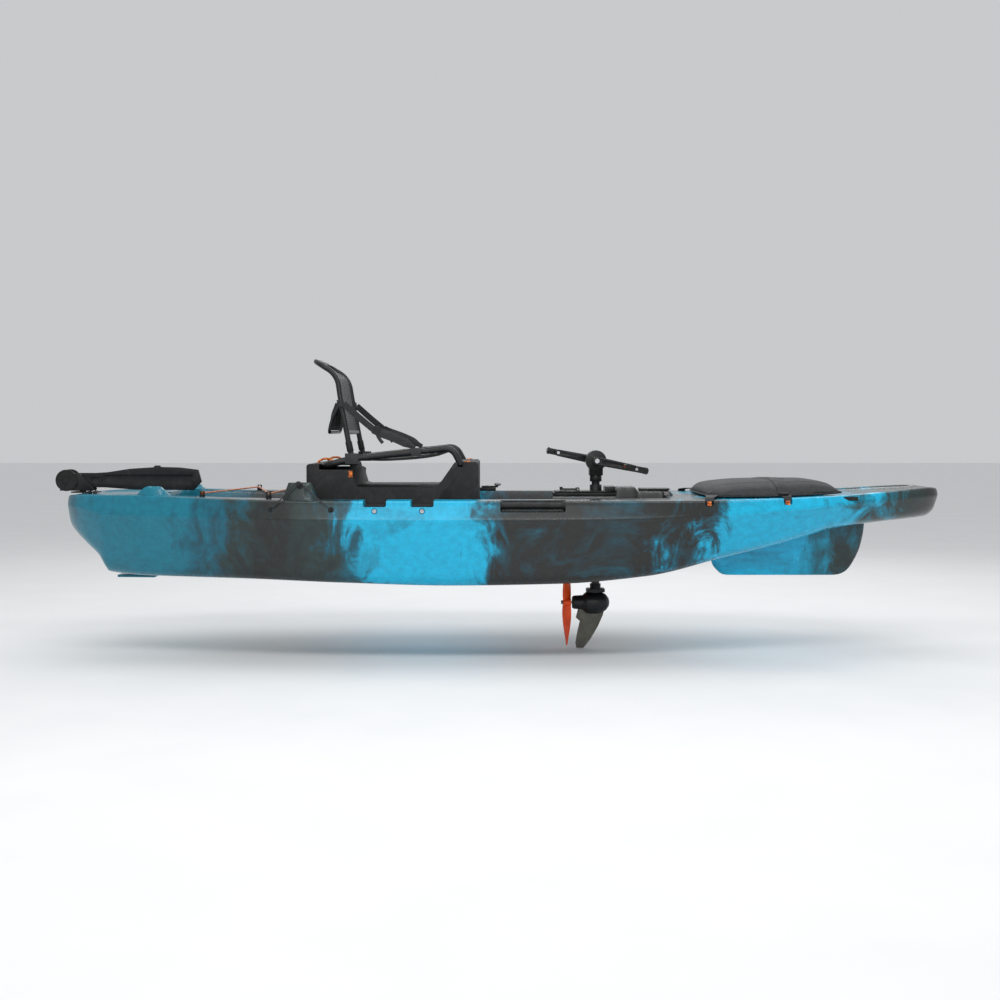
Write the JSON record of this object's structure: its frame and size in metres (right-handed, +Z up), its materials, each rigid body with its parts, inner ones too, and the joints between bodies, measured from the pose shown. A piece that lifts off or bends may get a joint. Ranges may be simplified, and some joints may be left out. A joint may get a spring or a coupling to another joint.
{
  "type": "pedal boat",
  "caption": "Sit-on-top pedal boat with a marbled moulded hull, raised folding seat, crank-driven propeller unit, stowed rudder with a hand lever, and a soft bow cover.",
  "frame": {"origin": "on the keel amidships, on the centre line", "axes": "+X towards the bow, +Y to port, +Z up"},
  "size_m": [3.509, 0.926, 1.1575],
  "materials": {
    "hull_plastic": "glossy rotomoulded polyethylene, marbled turquoise and charcoal",
    "black_plastic": "satin moulded black nylon with a fine grain",
    "black_tube": "satin black powder coat on aluminium tube",
    "black_fabric": "black woven polyester",
    "black_cord": "braided black elastic cord",
    "orange_cord": "braided orange elastic cord",
    "propeller_orange": "red orange filled nylon",
    "steel": "stainless steel",
    "brass": "turned brass",
    "grey_knob": "light grey soft-touch plastic",
    "fin_grey": "grey filled nylon"
  },
  "bodies": {
    "hull_body": {"hull": "hull_plastic", "stern_skid_plate": "black_plastic", "drain_plug": "black_plastic", "deck_loops": "black_plastic", "side_cords": "black_cord", "rear_bungee": "orange_cord", "carry_handles": "black_plastic", "cord_hooks": "black_plastic", "rudder_bracket": "black_plastic", "deck_bolts": "steel", "steering_pins": "steel", "steering_pod": "black_plastic", "drive_dock": "black_plastic", "seat_riser": "black_plastic", "seat_bungees": "orange_cord", "lid_hinge": "black_plastic"},
    "rudder_fork": {"rudder_yoke": "black_plastic", "rudder_axle": "black_plastic"},
    "rudder": {"rudder_blade": "black_plastic"},
    "steering_lever": {"steering_lever": "black_plastic", "lever_knob": "grey_knob"},
    "drive": {"drive_plate": "black_plastic", "drive_tube": "black_tube", "tube_collars": "black_plastic", "gear_case_right": "black_plastic", "gear_case_left": "black_plastic", "lower_case_right": "black_plastic", "lower_case_left": "black_plastic", "drive_pins": "steel", "drive_fin": "fin_grey", "drive_bearings": "steel"},
    "drive_latch": {"drive_latch": "black_plastic"},
    "cranks": {"crank_axle": "steel", "crank_bolts": "steel", "crank_gear": "steel", "crank_arm_right": "black_tube", "crank_arm_left": "black_tube", "pedal_spindles": "steel"},
    "pedal_right": {"pedal_right": "black_plastic"},
    "pedal_left": {"pedal_left": "black_plastic"},
    "drive_shaft": {"drive_shaft": "steel", "upper_pinion": "steel", "lower_gear": "steel"},
    "propeller": {"propeller": "propeller_orange", "prop_shaft": "steel", "prop_pinion": "steel", "propeller_fixings": "brass"},
    "seat": {"seat_frame": "black_tube", "seat_sling": "black_fabric", "rail_brackets": "black_plastic", "back_pivots": "steel", "back_straps": "black_fabric", "strap_buckles": "black_plastic"},
    "backrest": {"back_frame": "black_tube", "back_cross_tubes": "black_tube", "back_fabric": "black_fabric"},
    "bow_cover": {"bow_cover": "black_fabric", "cover_strap": "black_fabric"},
    "console_lid": {"console_lid": "black_plastic"}
  },
  "joints": [
    {"name": "rudder_steer", "type": "hinge", "parent": "hull_body", "child": "rudder_fork", "pos_m": [-1.692, 0, 0.36], "axis": [0, 0, 1], "range_deg": [-30, 30]},
    {"name": "rudder_deploy", "type": "hinge", "parent": "rudder_fork", "child": "rudder", "pos_m": [-1.748, 0, 0.398], "axis": [0, -1, 0], "range_deg": [0, 235]},
    {"name": "steering_lever_turn", "type": "hinge", "parent": "hull_body", "child": "steering_lever", "pos_m": [-0.068, 0.385, 0.355], "axis": [0, 0, 1], "range_deg": [-45, 45]},
    {"name": "drive_lift", "type": "slide", "parent": "hull_body", "child": "drive", "axis": [0, 0, 1], "range_m": [0, 0.66]},
    {"name": "drive_latch_open", "type": "hinge", "parent": "drive", "child": "drive_latch", "pos_m": [0.3, 0, 0.3623], "axis": [0, 1, 0], "range_deg": [0, 95]},
    {"name": "crank_spin", "type": "hinge", "parent": "drive", "child": "cranks", "pos_m": [0.373, 0, 0.477], "axis": [0, 1, 0], "continuous": true},
    {"name": "pedal_right_spin", "type": "hinge", "parent": "cranks", "child": "pedal_right", "pos_m": [0.51999, -0.13, 0.44709], "axis": [0, 1, 0], "continuous": true},
    {"name": "pedal_left_spin", "type": "hinge", "parent": "cranks", "child": "pedal_left", "pos_m": [0.22601, 0.13, 0.50691], "axis": [0, 1, 0], "continuous": true},
    {"name": "drive_shaft_spin", "type": "hinge", "parent": "drive", "child": "drive_shaft", "pos_m": [0.373, 0, 0.2], "axis": [0, 0, 1], "continuous": true},
    {"name": "propeller_spin", "type": "hinge", "parent": "drive", "child": "propeller", "pos_m": [0.258, 0, -0.096], "axis": [1, 0, 0], "continuous": true},
    {"name": "seat_lift", "type": "slide", "parent": "hull_body", "child": "seat", "axis": [0, 0, 1], "range_m": [0, 0.25], "deforming": ["seat_bungees"]},
    {"name": "backrest_fold", "type": "hinge", "parent": "seat", "child": "backrest", "pos_m": [-0.58, 0, 0.492], "axis": [0, 1, 0], "range_deg": [0, 78], "deforming": ["back_straps", "strap_buckles"]},
    {"name": "bow_cover_lift", "type": "slide", "parent": "hull_body", "child": "bow_cover", "axis": [0, 0, 1], "range_m": [0, 0.2]},
    {"name": "console_lid_open", "type": "hinge", "parent": "hull_body", "child": "console_lid", "pos_m": [0.668, 0, 0.3623], "axis": [0, 1, 0], "range_deg": [0, 100]}
  ],
  "couplings": [
    {"joint": "drive_shaft_spin", "follows": "crank_spin", "ratio": 2.6667},
    {"joint": "propeller_spin", "follows": "crank_spin", "ratio": 8},
    {"joint": "steering_lever_turn", "follows": "rudder_steer", "ratio": 1.5}
  ]
}
